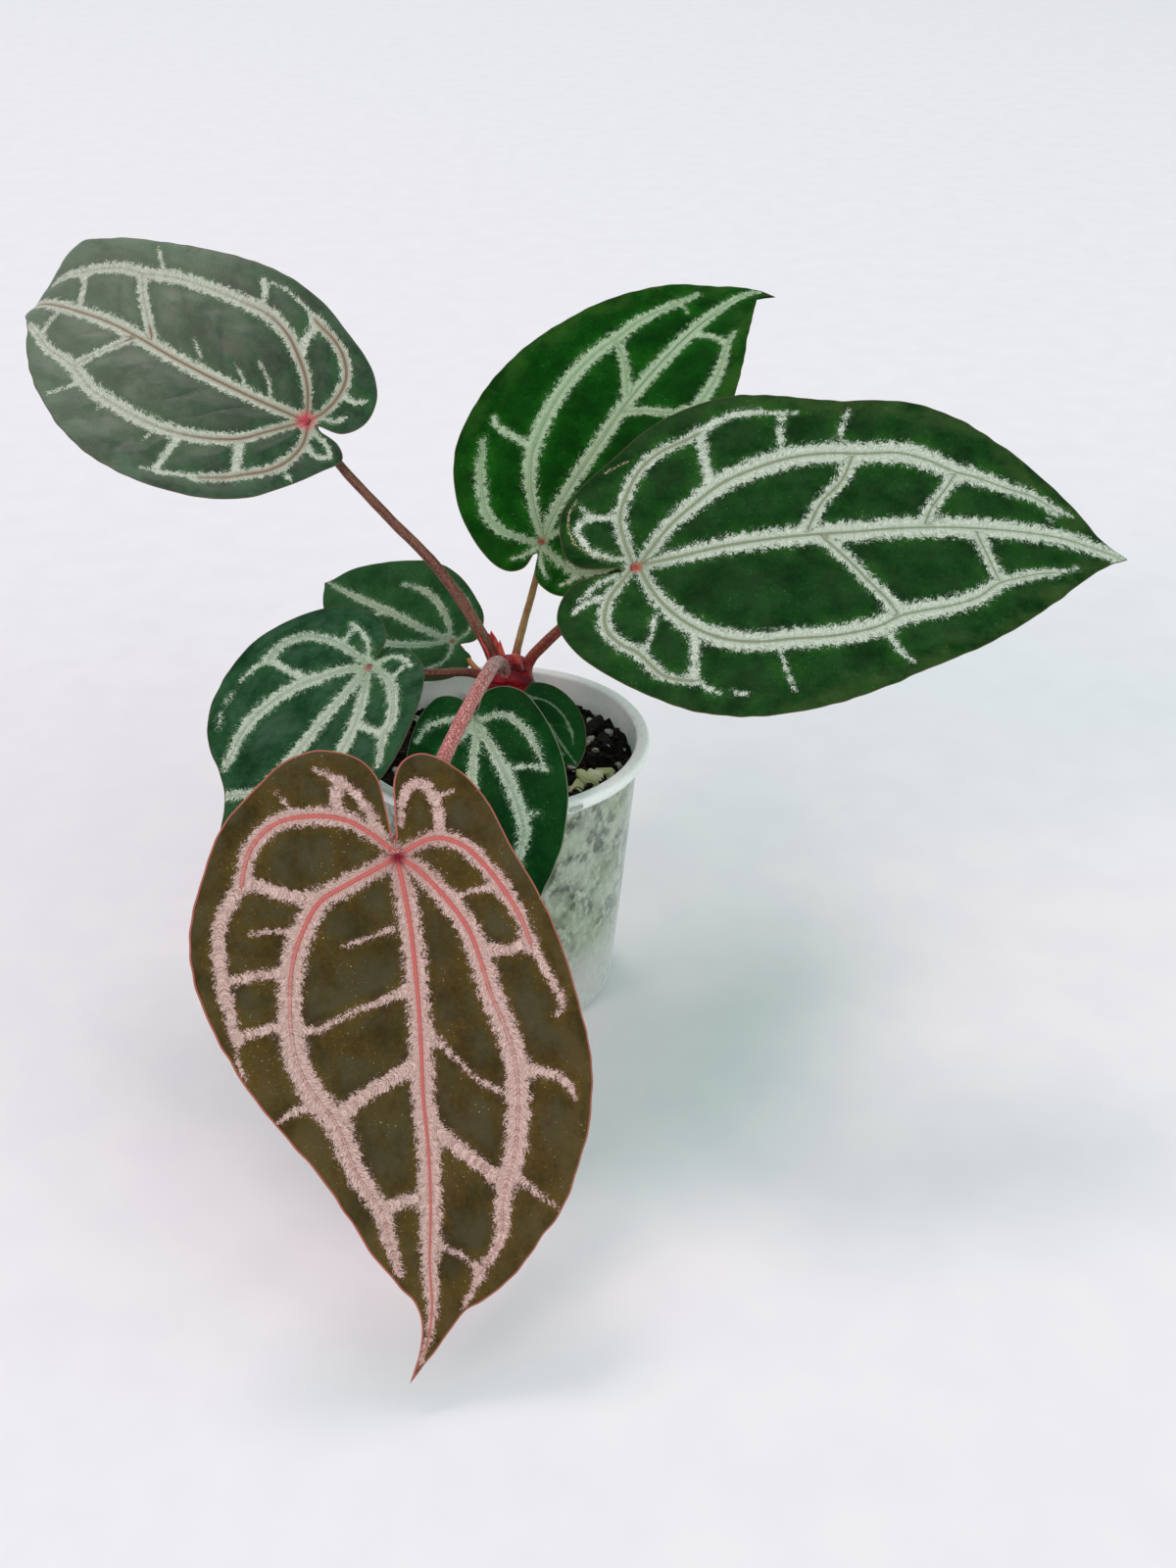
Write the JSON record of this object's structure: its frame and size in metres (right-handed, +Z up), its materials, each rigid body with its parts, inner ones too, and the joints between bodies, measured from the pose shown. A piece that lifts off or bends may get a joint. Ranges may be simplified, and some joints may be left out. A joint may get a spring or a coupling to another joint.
{
  "type": "potted anthurium",
  "caption": "Velvet-leaved anthurium house plant with heart-shaped, pale-veined leaves on slender stalks, growing in a small translucent nursery pot.",
  "frame": {"origin": "middle of the pot's flat base, on the surface the pot stands on", "axes": "+Z up; -Y towards the front, where the young bronze leaf hangs; +X to the right, where the largest green leaf points"},
  "size_m": [0.3197, 0.2956, 0.2114],
  "materials": {
    "pot_plastic": "translucent, slightly hazy, thin moulded plastic",
    "potting_mix": "loose bark and fibre with white perlite, matt",
    "stem_crimson": "smooth fleshy crimson plant tissue, soft sheen",
    "leaf_sheen": "mature grey-green blade with a soft sheen and pale veins",
    "stalk_brown": "smooth red-brown leaf stalk, satin",
    "leaf_green": "velvety dark green blade with silver-white feathered veins",
    "stalk_olive": "olive to orange-brown leaf stalk, satin",
    "leaf_bronze": "young bronze-brown blade with pink veins and a coral midrib",
    "stalk_pink": "fresh pink-red leaf stalk with pale specks, satin"
  },
  "bodies": {
    "root": {"pot": "pot_plastic", "soil": "potting_mix", "stem": "stem_crimson", "blade_left_high": "leaf_sheen", "stalk_left_high": "stalk_brown", "blade_back_middle": "leaf_green", "stalk_back_middle": "stalk_olive", "blade_right_large": "leaf_green", "stalk_right_large": "stalk_brown", "blade_small_back": "leaf_green", "stalk_small_back": "stalk_olive", "blade_left_low": "leaf_green", "stalk_left_low": "stalk_brown", "blade_front_low": "leaf_green", "stalk_front_low": "stalk_brown", "blade_small_front": "leaf_green", "stalk_small_front": "stalk_brown", "blade_new_front": "leaf_bronze", "stalk_new_front": "stalk_pink"}
  },
  "joints": []
}
